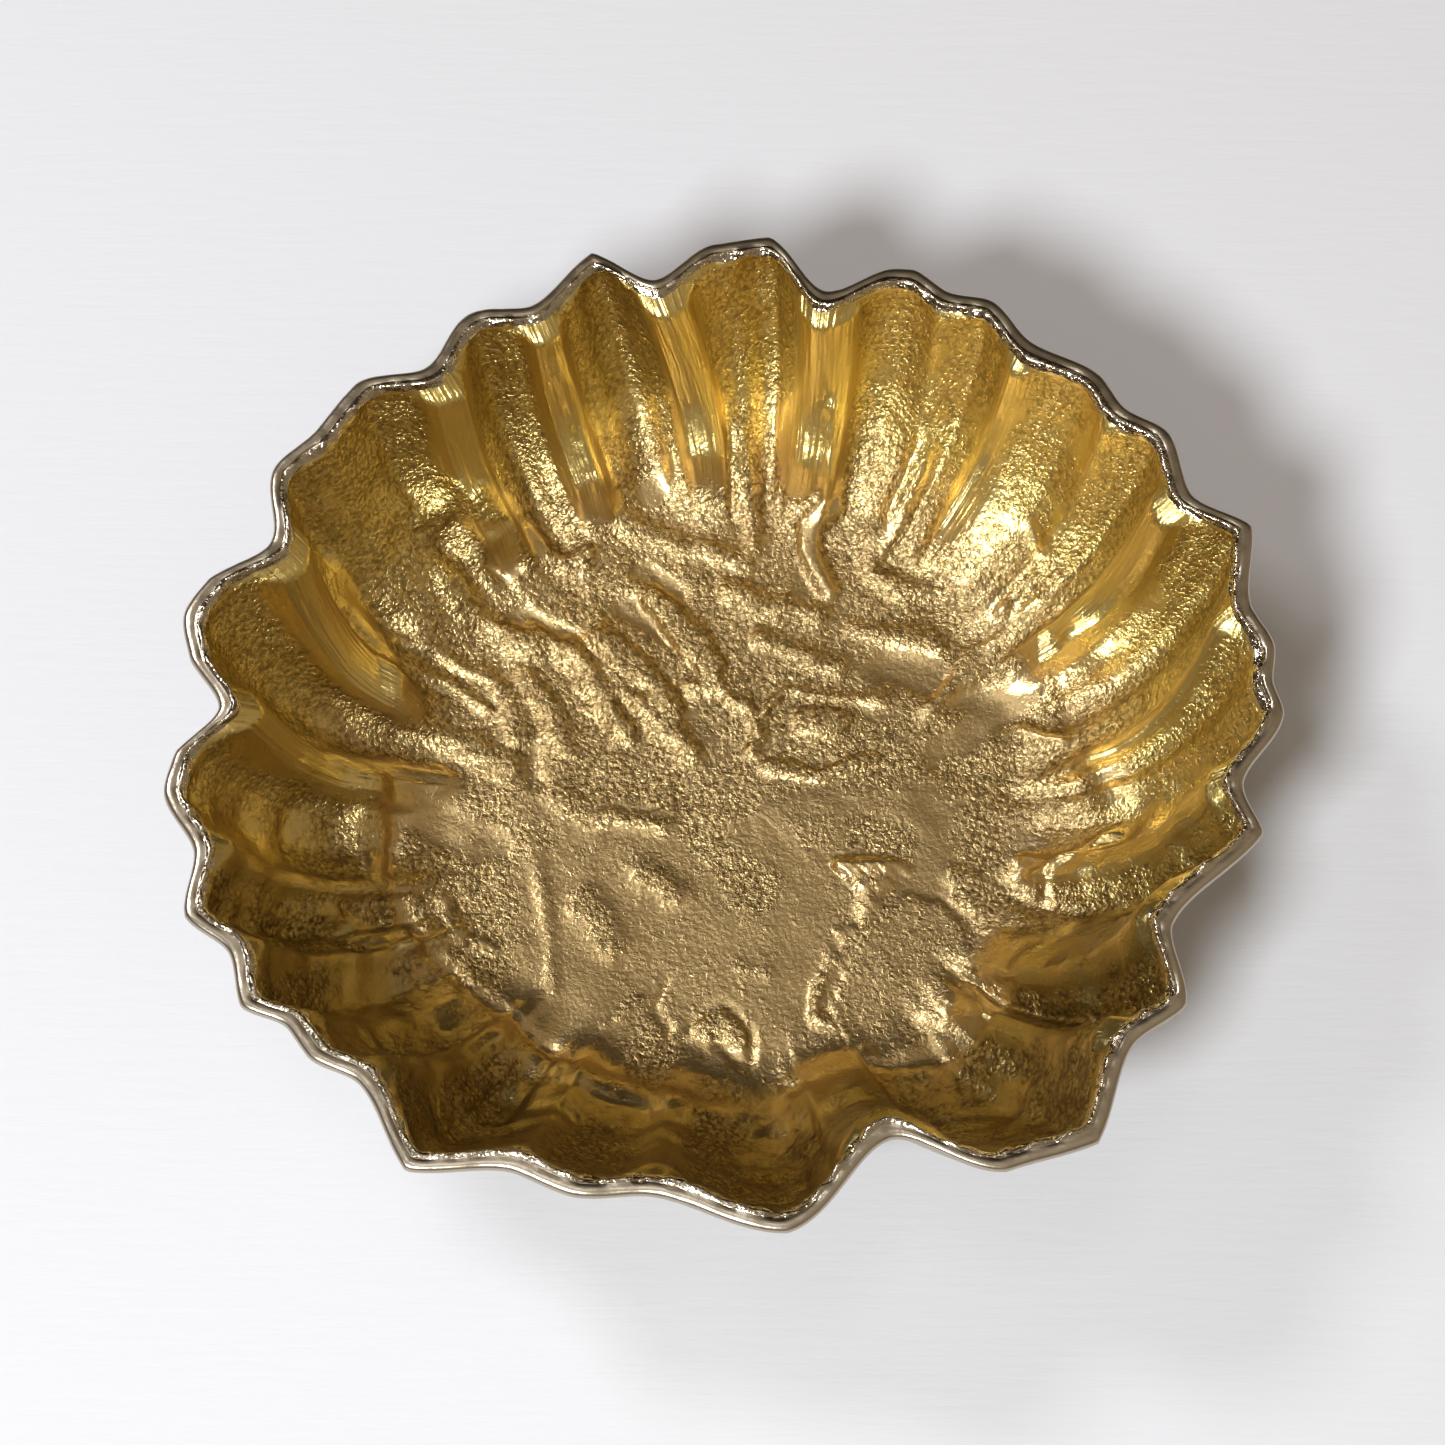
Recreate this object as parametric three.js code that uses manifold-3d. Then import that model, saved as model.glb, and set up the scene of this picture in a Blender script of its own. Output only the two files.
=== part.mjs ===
// A sand-cast brass bowl in the form of an open scallop shell, standing on three feet.
// Each foot is a turned knob held to a boss under the floor by one screw from below, with a
// felt pad over the screw head. Millimetres, +Z up, +Y towards the fan side of the shell and
// -Y towards its hinge side. The origin is on the table, under the middle of the rim's extent.
import * as THREE from "three";
import { mergeVertices } from "three/addons/utils/BufferGeometryUtils.js";
import Module from "manifold-3d";

// ---- Driving dimensions -------------------------------------------------------------------

const RIM_RADIUS = 119; // mean radius of the rim's outer edge, which the lobes vary
const BOWL_DEPTH = 52; // floor to rim, inside
const WALL = 4.2; // thickness of the wall
const FLOOR_THICKNESS = 4.8;
const FLOOR_FLAT_RADIUS = 34; // the floor starts to rise outside this radius
const WALL_FOOT_INSET = 27; // how far inside the rim the curve of the floor aims
const WALL_TURN_INSET = 13.5; // how far inside the rim the wall turns up
const WALL_TURN_RISE = 12; // height of that turn above the floor
const LIP_WIDTH = 5.2; // the rim, seen from above
const LIP_DROP = 4.6; // height of the lip's outer face
const LIP_ROUND = 1.5; // how far the lip's edges are rounded

const FOOT_CIRCLE_RADIUS = 54;
const FOOT_HEIGHT = 11;
const FOOT_SOLE_WALL = 2.7; // metal round the counterbore, at the sole
const FOOT_BELLY_SWELL = 1.8; // how far the belly stands out past the sole
const FOOT_NECK_WALL = 3.7; // metal round the screw's hole, at the neck
const FOOT_SEAT_FLARE = 1.6; // how far the seat stands out past the neck
const FOOT_BAND = 1.2; // height of the straight band at the sole and at the seat
const BOSS_DRAFT = 0.6; // the boss is this much wider at its root than the foot's seat
const PAD_MARGIN = 0.6; // the sole shows this much round the felt
const PAD_THICKNESS = 1.5;

const SCREW_RADIUS = 2;
const SCREW_HEAD_RADIUS = 3.5;
const SCREW_HEAD_HEIGHT = 2.6;
const SCREW_SLOT_WIDTH = 1;
const SCREW_SLOT_DEPTH = 1.2;
const SCREW_ENGAGEMENT = 5; // length of screw inside the boss
const SCREW_CLEARANCE = 0.3; // round the shank, in the foot and in the boss
const HEAD_CLEARANCE = 0.6; // round the head, in the foot's counterbore
const HEAD_COVER = 1.2; // from the head's face to the felt
const TIP_CLEARANCE = 0.6; // above the end of the screw
const FLOOR_SKIN = 2; // metal left above the screw hole

// ---- Values that follow from them ---------------------------------------------------------

const SEAT_Z = PAD_THICKNESS + FOOT_HEIGHT;
const HOLE_TOP_Z = SEAT_Z + SCREW_ENGAGEMENT + TIP_CLEARANCE;
const FLOOR_Z = HOLE_TOP_Z + FLOOR_SKIN;
const UNDERSIDE_Z = FLOOR_Z - FLOOR_THICKNESS;
const RIM_Z = FLOOR_Z + BOWL_DEPTH;
const BEARING_Z = PAD_THICKNESS + HEAD_COVER + SCREW_HEAD_HEIGHT;
const HOLE_RADIUS = SCREW_RADIUS + SCREW_CLEARANCE;
const COUNTERBORE_RADIUS = SCREW_HEAD_RADIUS + HEAD_CLEARANCE;
const SOLE_RADIUS = COUNTERBORE_RADIUS + FOOT_SOLE_WALL;
const BELLY_RADIUS = SOLE_RADIUS + FOOT_BELLY_SWELL;
const NECK_RADIUS = HOLE_RADIUS + FOOT_NECK_WALL;
const SEAT_RADIUS = NECK_RADIUS + FOOT_SEAT_FLARE;

const DEGREES = Math.PI / 180;
const STEPS_BETWEEN_POINTS = 4; // facets between one point of the rim and the next
const FLOOR_ROWS = 2;
const WALL_ROWS = 8;
const LOBES_START = 0.22; // how far up the wall's curve the lobes begin
const ROUND_FACETS = 24;
const SIDE_STEPS = 8; // facets up the side of a foot
const BELLY_AT = 0.35; // heights of the belly and the neck, as shares of the foot's side
const NECK_AT = 0.85;

// The points of the rim, anticlockwise from +X: the valleys, where a ridge runs down the inside
// of the wall, and the tips between them, which end the channels.
//   at     direction, in degrees
//   out    how far the point stands outside RIM_RADIUS
//   sweep  how far the line has turned about the axis by the time it reaches the floor
//   keen   0 for a rounded point, 1 for a sharp one
const RIM_POINTS = [
  { at: 2.5, out: 3.8, sweep: -8, keen: 0.2 },
  { at: 6.5, out: 5.4, sweep: -11, keen: 0.2 },
  { at: 11.5, out: 2.3, sweep: -13, keen: 0.1 },
  { at: 20, out: 9.1, sweep: -9, keen: 0.9 },
  { at: 26, out: -0.2, sweep: -4, keen: 0.1 },
  { at: 33.5, out: 4, sweep: -4, keen: 0.3 },
  { at: 39, out: -0.4, sweep: -5, keen: 0.1 },
  { at: 43.5, out: 1.3, sweep: -4, keen: 0.2 },
  { at: 52, out: -2.8, sweep: -2, keen: 0 },
  { at: 58.5, out: 1.3, sweep: -3, keen: 0.3 },
  { at: 63.5, out: -1.6, sweep: -4, keen: 0 },
  { at: 68, out: 0.6, sweep: -3, keen: 0.2 },
  { at: 70.5, out: -0.8, sweep: -3, keen: 0.8 },
  { at: 77.5, out: -11.2, sweep: -2, keen: 0 },
  { at: 85, out: 1.4, sweep: -3, keen: 0.6 },
  { at: 91.5, out: -0.9, sweep: -5, keen: 0.4 },
  { at: 99, out: -9.3, sweep: -7, keen: 0.1 },
  { at: 105.5, out: 1, sweep: -3, keen: 0.8 },
  { at: 114.5, out: -7.7, sweep: 1, keen: 0.1 },
  { at: 121.5, out: -2.8, sweep: 2, keen: 0 },
  { at: 129.5, out: -8.9, sweep: 3.5, keen: 0 },
  { at: 137, out: -0.8, sweep: 4, keen: 0.3 },
  { at: 144.5, out: -1.8, sweep: 5, keen: 0.2 },
  { at: 150.5, out: 0.9, sweep: 7, keen: 0.1 },
  { at: 159, out: -7.4, sweep: 10, keen: 0 },
  { at: 165.5, out: 2.7, sweep: 8, keen: 1 },
  { at: 170, out: 5.8, sweep: 6, keen: 0.1 },
  { at: 175, out: 2.3, sweep: 5, keen: 1 },
  { at: 180.5, out: -5.3, sweep: 3, keen: 0.1 },
  { at: 185.5, out: 4.4, sweep: 4, keen: 1 },
  { at: 190, out: 7.5, sweep: 4, keen: 0.2 },
  { at: 196.5, out: 3.3, sweep: 4.5, keen: 0.1 },
  { at: 203, out: 9.4, sweep: 3, keen: 0.4 },
  { at: 208.5, out: 3.9, sweep: 2.5, keen: 0.1 },
  { at: 214, out: 7.4, sweep: 3, keen: 0.6 },
  { at: 218.7, out: 1.9, sweep: 3.5, keen: 0.1 },
  { at: 222.5, out: 2.5, sweep: 3, keen: 0.4 },
  { at: 228, out: -1.2, sweep: 3, keen: 0.1 },
  { at: 237.5, out: 7.5, sweep: 1, keen: 0.9 },
  { at: 247.5, out: -2.8, sweep: -2, keen: 0.1 },
  { at: 253.5, out: -2.1, sweep: -1, keen: 0.2 },
  { at: 262, out: -5.7, sweep: 0, keen: 0 },
  { at: 276, out: 1.6, sweep: 0, keen: 0.3 },
  { at: 289, out: -13.2, sweep: 0, keen: 0 },
  { at: 299, out: 3.1, sweep: -2, keen: 0.5 },
  { at: 308, out: 8.8, sweep: -3, keen: 0.9 },
  { at: 318, out: -1.2, sweep: -4, keen: 0.1 },
  { at: 324.5, out: 2.5, sweep: -7, keen: 0.5 },
  { at: 332, out: -8.9, sweep: -11, keen: 0 },
  { at: 345.3, out: 3.3, sweep: -10, keen: 1 },
  { at: 350.5, out: -3, sweep: -10, keen: 0.1 },
  { at: 359, out: 5.6, sweep: -9, keen: 0.2 },
];

// ---- Solids -------------------------------------------------------------------------------

const wasm = await Module();
wasm.setup();

// A closed geometry as a solid that can be joined and cut.
function solidFrom(geometry) {
  const plain = geometry.clone();
  plain.deleteAttribute("normal");
  plain.deleteAttribute("uv");
  const merged = mergeVertices(plain, 1e-4);
  const corners = merged.index.array;
  const kept = [];
  for (let i = 0; i < corners.length; i += 3) {
    const [a, b, c] = corners.slice(i, i + 3);
    if (a !== b && b !== c && c !== a) kept.push(a, b, c);
  }
  return new wasm.Manifold(
    new wasm.Mesh({
      numProp: 3,
      vertProperties: merged.attributes.position.array,
      triVerts: new Uint32Array(kept),
    }),
  );
}

function geometryFrom(solid) {
  const mesh = solid.getMesh();
  const geometry = new THREE.BufferGeometry();
  geometry.setAttribute("position", new THREE.BufferAttribute(mesh.vertProperties, 3));
  geometry.setIndex(new THREE.BufferAttribute(mesh.triVerts, 1));
  return geometry;
}

// A profile of [radius, height] points, turned about +Z.
function turned(profile, facets = ROUND_FACETS) {
  const points = profile.map(([radius, height]) => new THREE.Vector2(radius, height));
  return new THREE.LatheGeometry(points, facets).rotateX(Math.PI / 2);
}

// An upright cylinder between two heights, on the axis.
function post(radius, low, high) {
  const cylinder = new THREE.CylinderGeometry(radius, radius, high - low, ROUND_FACETS);
  return cylinder.rotateX(Math.PI / 2).translate(0, 0, (low + high) / 2);
}

// ---- The bowl -----------------------------------------------------------------------------

// The inside of a plain round bowl, as a curve of radius and height from the edge of the flat
// floor to the inner edge of the lip.
const insideCurve = new THREE.CubicBezierCurve(
  new THREE.Vector2(FLOOR_FLAT_RADIUS, FLOOR_Z),
  new THREE.Vector2(RIM_RADIUS - LIP_WIDTH - WALL_FOOT_INSET, FLOOR_Z),
  new THREE.Vector2(RIM_RADIUS - LIP_WIDTH - WALL_TURN_INSET, FLOOR_Z + WALL_TURN_RISE),
  new THREE.Vector2(RIM_RADIUS - LIP_WIDTH, RIM_Z - LIP_ROUND),
);

// The bowl's section as rows, from the middle of the underside out to the lip and back in over
// the inside. Each row has its radius and height, its climb (0 on the floor and 1 at the rim),
// its share of the lobes, and the way that a lobe pushes it: outward at the rim, and square to
// the surface lower down, so that the ridges still stand up where the wall meets the floor.
function bowlSection() {
  const inside = [];
  const outside = [];
  for (let row = 1; row <= FLOOR_ROWS; row++) {
    const radius = (FLOOR_FLAT_RADIUS * (row - 1)) / FLOOR_ROWS;
    const level = { radius, climb: 0, lobes: 0, pushOut: 0, pushDown: 0 };
    inside.push({ ...level, height: FLOOR_Z });
    outside.push({ ...level, height: UNDERSIDE_Z });
  }
  for (let row = 0; row <= WALL_ROWS; row++) {
    const share = row / WALL_ROWS;
    const point = insideCurve.getPoint(share);
    const along = insideCurve.getTangent(share);
    const thickness = THREE.MathUtils.lerp(FLOOR_THICKNESS, WALL, share);
    const climb = (point.y - FLOOR_Z) / (RIM_Z - LIP_ROUND - FLOOR_Z);
    const lobes = Math.max(0, (share - LOBES_START) / (1 - LOBES_START));
    const pushOut = THREE.MathUtils.lerp(along.y, 1, climb);
    const pushDown = THREE.MathUtils.lerp(along.x, 0, climb);
    const pushed = { climb, lobes, pushOut, pushDown };
    inside.push({ ...pushed, radius: point.x, height: point.y });
    if (row === WALL_ROWS) continue;
    const outer = { radius: point.x + along.y * thickness, height: point.y - along.x * thickness };
    outside.push({ ...pushed, ...outer });
  }
  const level = { climb: 1, lobes: 1, pushOut: 1, pushDown: 0 };
  const lip = [
    { ...level, radius: RIM_RADIUS - LIP_ROUND, height: RIM_Z - LIP_DROP },
    { ...level, radius: RIM_RADIUS, height: RIM_Z - LIP_DROP + LIP_ROUND },
    { ...level, radius: RIM_RADIUS, height: RIM_Z - LIP_ROUND },
    { ...level, radius: RIM_RADIUS - LIP_ROUND, height: RIM_Z },
    { ...level, radius: RIM_RADIUS - LIP_WIDTH + LIP_ROUND, height: RIM_Z },
  ];
  return [...outside, ...lip, ...inside.reverse()];
}

// How far along the way from one rim point to the next, eased so that a rounded point is flat
// and a keen one keeps its slope.
function eased(share, from, to) {
  const rest = 1 - share;
  const smooth = share * share * (3 - 2 * share);
  return smooth + from.keen * share * rest * rest - to.keen * share * share * rest;
}

// The direction and reach of a rib of the mesh: rib 0 is the first rim point, and there are
// STEPS_BETWEEN_POINTS ribs from each point to the next.
function rimAt(rib, climb) {
  const turns = Math.floor(rib / STEPS_BETWEEN_POINTS / RIM_POINTS.length);
  const place = (rib / STEPS_BETWEEN_POINTS) % RIM_POINTS.length;
  const first = Math.floor(place);
  const share = place - first;
  const from = RIM_POINTS[first];
  const to = RIM_POINTS[(first + 1) % RIM_POINTS.length];
  const fullTurn = first + 1 === RIM_POINTS.length ? 360 : 0;
  const low = 1 - climb;
  const direction = THREE.MathUtils.lerp(
    from.at + from.sweep * low,
    to.at + fullTurn + to.sweep * low,
    share,
  );
  return {
    direction: direction + 360 * turns,
    out: THREE.MathUtils.lerp(from.out, to.out, eased(share, from, to)),
  };
}

// The section turned about the axis, with each ring pushed out and in to the lobes.
function bowlBody() {
  const section = bowlSection();
  const ribs = RIM_POINTS.length * STEPS_BETWEEN_POINTS;
  const geometry = turned(
    section.map(({ radius, height }) => [radius, height]),
    ribs,
  );
  const position = geometry.attributes.position;
  for (let i = 0; i < position.count; i++) {
    const rib = Math.floor(i / section.length);
    const row = section[i % section.length];
    const { direction, out } = rimAt(rib % ribs, row.climb);
    const push = out * row.lobes;
    const reach = row.radius + push * row.pushOut;
    const angle = direction * DEGREES;
    const height = row.height - push * row.pushDown;
    position.setXYZ(i, reach * Math.cos(angle), reach * Math.sin(angle), height);
  }
  return solidFrom(geometry);
}

// The height of the inside of the plain bowl at a distance from the axis, found by halving.
function insideHeightAt(radius) {
  let below = 0;
  let above = 1;
  for (let halving = 0; halving < 30; halving++) {
    const share = (below + above) / 2;
    if (insideCurve.getPoint(share).x < radius) below = share;
    else above = share;
  }
  return insideCurve.getPoint(below).y;
}

// The bowl with a drilled boss under its floor for each foot. A boss's root is sunk in the
// floor by all but a skin, at its side nearest the axis, where the floor is lowest.
function bowl(places) {
  const rootRadius = SEAT_RADIUS + BOSS_DRAFT;
  const rootZ = insideHeightAt(FOOT_CIRCLE_RADIUS - rootRadius) - FLOOR_SKIN;
  let solid = bowlBody();
  for (const place of places) {
    const boss = turned([
      [0, SEAT_Z],
      [SEAT_RADIUS, SEAT_Z],
      [rootRadius, rootZ],
      [0, rootZ],
    ]).translate(place.x, place.y, 0);
    solid = solid.add(solidFrom(boss));
  }
  for (const place of places) {
    const hole = post(HOLE_RADIUS, SEAT_Z - 1, HOLE_TOP_Z);
    solid = solid.subtract(solidFrom(hole.translate(place.x, place.y, 0)));
  }
  return geometryFrom(solid);
}

// ---- The feet -----------------------------------------------------------------------------

// A turned knob with a hole for the screw's shank and a counterbore for its head.
function foot() {
  const soleTop = PAD_THICKNESS + FOOT_BAND;
  const seatFoot = SEAT_Z - FOOT_BAND;
  const side = new THREE.CatmullRomCurve3([
    new THREE.Vector3(SOLE_RADIUS, soleTop),
    new THREE.Vector3(BELLY_RADIUS, THREE.MathUtils.lerp(soleTop, seatFoot, BELLY_AT)),
    new THREE.Vector3(NECK_RADIUS, THREE.MathUtils.lerp(soleTop, seatFoot, NECK_AT)),
    new THREE.Vector3(SEAT_RADIUS, seatFoot),
  ]);
  const outline = side.getPoints(SIDE_STEPS).map(({ x, y }) => [x, y]);
  return turned([
    [COUNTERBORE_RADIUS, PAD_THICKNESS],
    [SOLE_RADIUS, PAD_THICKNESS],
    ...outline,
    [SEAT_RADIUS, SEAT_Z],
    [HOLE_RADIUS, SEAT_Z],
    [HOLE_RADIUS, BEARING_Z],
    [COUNTERBORE_RADIUS, BEARING_Z],
    [COUNTERBORE_RADIUS, PAD_THICKNESS],
  ]);
}

// A slotted pan-head screw, head down.
function screw() {
  const headFace = BEARING_Z - SCREW_HEAD_HEIGHT;
  const tip = SEAT_Z + SCREW_ENGAGEMENT;
  const blank = turned([
    [0, headFace],
    [SCREW_HEAD_RADIUS * 0.75, headFace],
    [SCREW_HEAD_RADIUS, headFace + SCREW_HEAD_HEIGHT * 0.4],
    [SCREW_HEAD_RADIUS, BEARING_Z],
    [SCREW_RADIUS, BEARING_Z],
    [SCREW_RADIUS, tip - SCREW_RADIUS * 0.3],
    [SCREW_RADIUS * 0.7, tip],
    [0, tip],
  ]);
  const slot = new THREE.BoxGeometry(
    4 * SCREW_HEAD_RADIUS,
    SCREW_SLOT_WIDTH,
    2 * SCREW_SLOT_DEPTH,
  ).translate(0, 0, headFace);
  return geometryFrom(solidFrom(blank).subtract(solidFrom(slot)));
}

function pad() {
  return post(SOLE_RADIUS - PAD_MARGIN, 0, PAD_THICKNESS);
}

// ---- Assembly -----------------------------------------------------------------------------

const giltBrass = new THREE.MeshStandardMaterial({
  color: "#dcb565",
  roughness: 0.3,
  metalness: 1,
});
const nickelPlate = new THREE.MeshStandardMaterial({
  color: "#b9b0a2",
  roughness: 0.2,
  metalness: 1,
});
const plainSteel = new THREE.MeshStandardMaterial({
  color: "#8f9194",
  roughness: 0.35,
  metalness: 1,
});
const brownFelt = new THREE.MeshStandardMaterial({
  color: "#4a3a2c",
  roughness: 1,
  metalness: 0,
});

function named(name, geometry, material, place = { x: 0, y: 0 }) {
  const mesh = new THREE.Mesh(geometry, material);
  mesh.name = name;
  mesh.position.set(place.x, place.y, 0);
  return mesh;
}

const FEET = [
  { name: "front", at: 270 },
  { name: "back_right", at: 30 },
  { name: "back_left", at: 150 },
];
const footPlaces = FEET.map(({ name, at }) => ({
  name,
  x: FOOT_CIRCLE_RADIUS * Math.cos(at * DEGREES),
  y: FOOT_CIRCLE_RADIUS * Math.sin(at * DEGREES),
}));

const assembly = new THREE.Group();
assembly.add(named("shell_bowl", bowl(footPlaces), giltBrass));
for (const place of footPlaces) {
  assembly.add(named(`foot_${place.name}`, foot(), nickelPlate, place));
  assembly.add(named(`foot_screw_${place.name}`, screw(), plainSteel, place));
  assembly.add(named(`felt_pad_${place.name}`, pad(), brownFelt, place));
}

// The lobes are uneven, so the whole bowl is moved to stand evenly about the origin.
const middle = new THREE.Box3().setFromObject(assembly).getCenter(new THREE.Vector3());
for (const mesh of assembly.children) {
  mesh.position.x -= middle.x;
  mesh.position.y -= middle.y;
}

export default assembly;
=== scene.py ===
"""A sand-cast brass bowl in the form of an open scallop shell, standing on three turned feet.

The inside is gilt and the lip and the outside are nickel plated. The bowl is one casting, and
each foot is a turned knob under a cast boss, held by one screw from below, with a felt pad over
the screw's head. Sizes are in millimetres until a mesh is finished, +Z is up, +Y is the fan
side of the shell and -Y its hinge side.
"""

import logging
import math
from dataclasses import dataclass, field
from enum import Enum
from itertools import product
from typing import Any

import bmesh
import bpy
import numpy as np
from mathutils import Matrix, Vector


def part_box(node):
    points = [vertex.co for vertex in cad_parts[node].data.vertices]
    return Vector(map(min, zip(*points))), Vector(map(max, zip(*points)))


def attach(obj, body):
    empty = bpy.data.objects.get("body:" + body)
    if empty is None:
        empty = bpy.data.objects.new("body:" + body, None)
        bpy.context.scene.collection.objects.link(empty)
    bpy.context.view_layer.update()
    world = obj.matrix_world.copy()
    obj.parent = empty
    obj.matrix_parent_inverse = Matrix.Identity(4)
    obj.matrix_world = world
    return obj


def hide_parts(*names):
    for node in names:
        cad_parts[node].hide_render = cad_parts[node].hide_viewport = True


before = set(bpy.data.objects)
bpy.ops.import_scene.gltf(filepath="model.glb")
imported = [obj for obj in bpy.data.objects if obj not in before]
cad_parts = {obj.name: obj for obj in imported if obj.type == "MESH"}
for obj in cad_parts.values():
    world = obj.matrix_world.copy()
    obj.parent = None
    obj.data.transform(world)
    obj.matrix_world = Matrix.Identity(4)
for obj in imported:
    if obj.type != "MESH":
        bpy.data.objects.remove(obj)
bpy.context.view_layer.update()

LOG = logging.getLogger("shell_bowl")
MM = 0.001
FULL_TURN = 2 * math.pi


# ---- Small tools ---------------------------------------------------------------------------


def linear(hex_colour: str) -> tuple[float, float, float, float]:
    """Turns an sRGB hex colour to linear red, green, blue and alpha.

    Args:
        hex_colour: A colour such as "#d9b25f".

    Returns:
        The linear colour, with an alpha of 1.
    """
    parts = [int(hex_colour[i : i + 2], 16) / 255 for i in (1, 3, 5)]
    red, green, blue = (
        part / 12.92 if part <= 0.04045 else ((part + 0.055) / 1.055) ** 2.4 for part in parts
    )
    return red, green, blue, 1.0


def smoothstep(low: float, high: float, value: np.ndarray) -> np.ndarray:
    """Eases each value from 0 at low to 1 at high."""
    share = np.clip((value - low) / (high - low), 0, 1)
    return share * share * (3 - 2 * share)


def rumple(places: np.ndarray, grain: float, octaves: int = 1, shift: float = 0.0) -> np.ndarray:
    """Gives smooth noise from about -1 to 1 at each place.

    Args:
        places: The places, one a row, in millimetres.
        grain: The size of the noise's bumps, in millimetres.
        octaves: How many layers of noise, each twice as fine and half as strong as the last.
        shift: An offset that picks another stretch of the same noise.

    Returns:
        One value for each place.
    """
    total = np.zeros(len(places))
    for octave in range(octaves):
        scaled = places / grain * 2**octave + shift + 0.37
        cell = np.floor(scaled)
        share = scaled - cell
        share = share * share * (3 - 2 * share)
        for corner in product((0, 1), repeat=3):
            key = (cell + corner) @ np.array((127.1, 311.7, 74.7))
            value = (np.sin(key) * 43758.5453) % 1 * 2 - 1
            weight = np.where(np.array(corner) == 1, share, 1 - share).prod(axis=1)
            total += value * weight * 0.5**octave
    return total


def set_inputs(tree: bpy.types.NodeTree, node: bpy.types.Node, values: dict[Any, Any]) -> None:
    """Sets a node's inputs.

    Args:
        tree: The tree that holds the node.
        node: The node.
        values: Plain values or other nodes' output sockets, by the input's name or number.
    """
    for key, value in values.items():
        if isinstance(value, bpy.types.NodeSocket):
            tree.links.new(value, node.inputs[key])
        else:
            node.inputs[key].default_value = value


def add_node(
    tree: bpy.types.NodeTree, kind: str, settings: dict[Any, Any] | None = None
) -> bpy.types.Node:
    """Adds a node to a tree.

    Args:
        tree: The tree that takes the node.
        kind: The node's type, such as "ShaderNodeBump".
        settings: Properties of the node, or values and links of its inputs.

    Returns:
        The new node.
    """
    node = tree.nodes.new(kind)
    for key, value in (settings or {}).items():
        if isinstance(key, str) and hasattr(node, key):
            setattr(node, key, value)
        else:
            set_inputs(tree, node, {key: value})
    return node


def read_attribute(tree: bpy.types.NodeTree, name: str, kind: str = "Fac") -> bpy.types.NodeSocket:
    """Reads a value that the mesh stores for each point."""
    return add_node(tree, "ShaderNodeAttribute", {"attribute_name": name}).outputs[kind]


def add_noise(
    tree: bpy.types.NodeTree, size: float, place: bpy.types.NodeSocket, **settings: float
) -> bpy.types.NodeSocket:
    """Adds noise whose bumps are about the given size, in mm."""
    values = {"Scale": 1 / (size * MM), "Vector": place, **settings}
    return add_node(tree, "ShaderNodeTexNoise", values).outputs["Fac"]


def add_bump(
    tree: bpy.types.NodeTree,
    depth: float,
    height: bpy.types.NodeSocket,
    under: bpy.types.NodeSocket | None = None,
) -> bpy.types.NodeSocket:
    """Adds a bump of the given depth in mm, over another bump's normal where one is given."""
    values = {"Strength": 1.0, "Distance": depth * MM, "Height": height}
    if under is not None:
        values["Normal"] = under
    return add_node(tree, "ShaderNodeBump", values).outputs["Normal"]


def calculate(
    tree: bpy.types.NodeTree, operation: str, *values: Any, clamp: bool = False
) -> bpy.types.NodeSocket:
    """Adds a sum, such as "MULTIPLY", of numbers or other nodes' outputs."""
    settings = {"operation": operation, "use_clamp": clamp, **dict(enumerate(values))}
    return add_node(tree, "ShaderNodeMath", settings).outputs[0]


def rescale(
    tree: bpy.types.NodeTree,
    value: bpy.types.NodeSocket,
    given: tuple[float, float] = (0.0, 1.0),
    wanted: tuple[float, float] = (0.0, 1.0),
    kind: str = "LINEAR",
) -> bpy.types.NodeSocket:
    """Maps a range of values to another range.

    Args:
        tree: The tree that takes the node.
        value: The value to map, which is kept within the given range.
        given: The two ends of the range that comes in.
        wanted: The two ends of the range that goes out.
        kind: "LINEAR", or "SMOOTHSTEP" to ease both ends.

    Returns:
        The mapped value.
    """
    settings = {
        "interpolation_type": kind,
        "From Min": given[0],
        "From Max": given[1],
        "To Min": wanted[0],
        "To Max": wanted[1],
        "Value": value,
    }
    return add_node(tree, "ShaderNodeMapRange", settings).outputs["Result"]


def blend(
    tree: bpy.types.NodeTree, share: bpy.types.NodeSocket, first: Any, second: Any
) -> bpy.types.NodeSocket:
    """Mixes two colours, each given as a linear colour or as another node's output."""
    settings = {"data_type": "RGBA", 0: share, 6: first, 7: second}
    return add_node(tree, "ShaderNodeMix", settings).outputs[2]


def new_material(name: str) -> tuple[bpy.types.Material, bpy.types.NodeTree, bpy.types.Node]:
    """Makes a material with a Principled shader.

    Args:
        name: The material's name.

    Returns:
        The material, its node tree and its Principled node.
    """
    material = bpy.data.materials.new(name)
    material.use_nodes = True
    tree = material.node_tree
    return material, tree, tree.nodes["Principled BSDF"]


def new_piece(
    name: str, shape: bmesh.types.BMesh, finishes: list[bpy.types.Material]
) -> bpy.types.Object:
    """Turns a finished shape in millimetres to an object in metres.

    Args:
        name: The piece's name.
        shape: The shape, which is freed.
        finishes: The materials of its slots.

    Returns:
        The new object, at the origin, with smooth shading.
    """
    shape.transform(Matrix.Scale(MM, 4))
    mesh = bpy.data.meshes.new(name)
    shape.to_mesh(mesh)
    shape.free()
    mesh.shade_smooth()
    for finish in finishes:
        mesh.materials.append(finish)
    piece = bpy.data.objects.new(name, mesh)
    bpy.context.scene.collection.objects.link(piece)
    return piece


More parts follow.
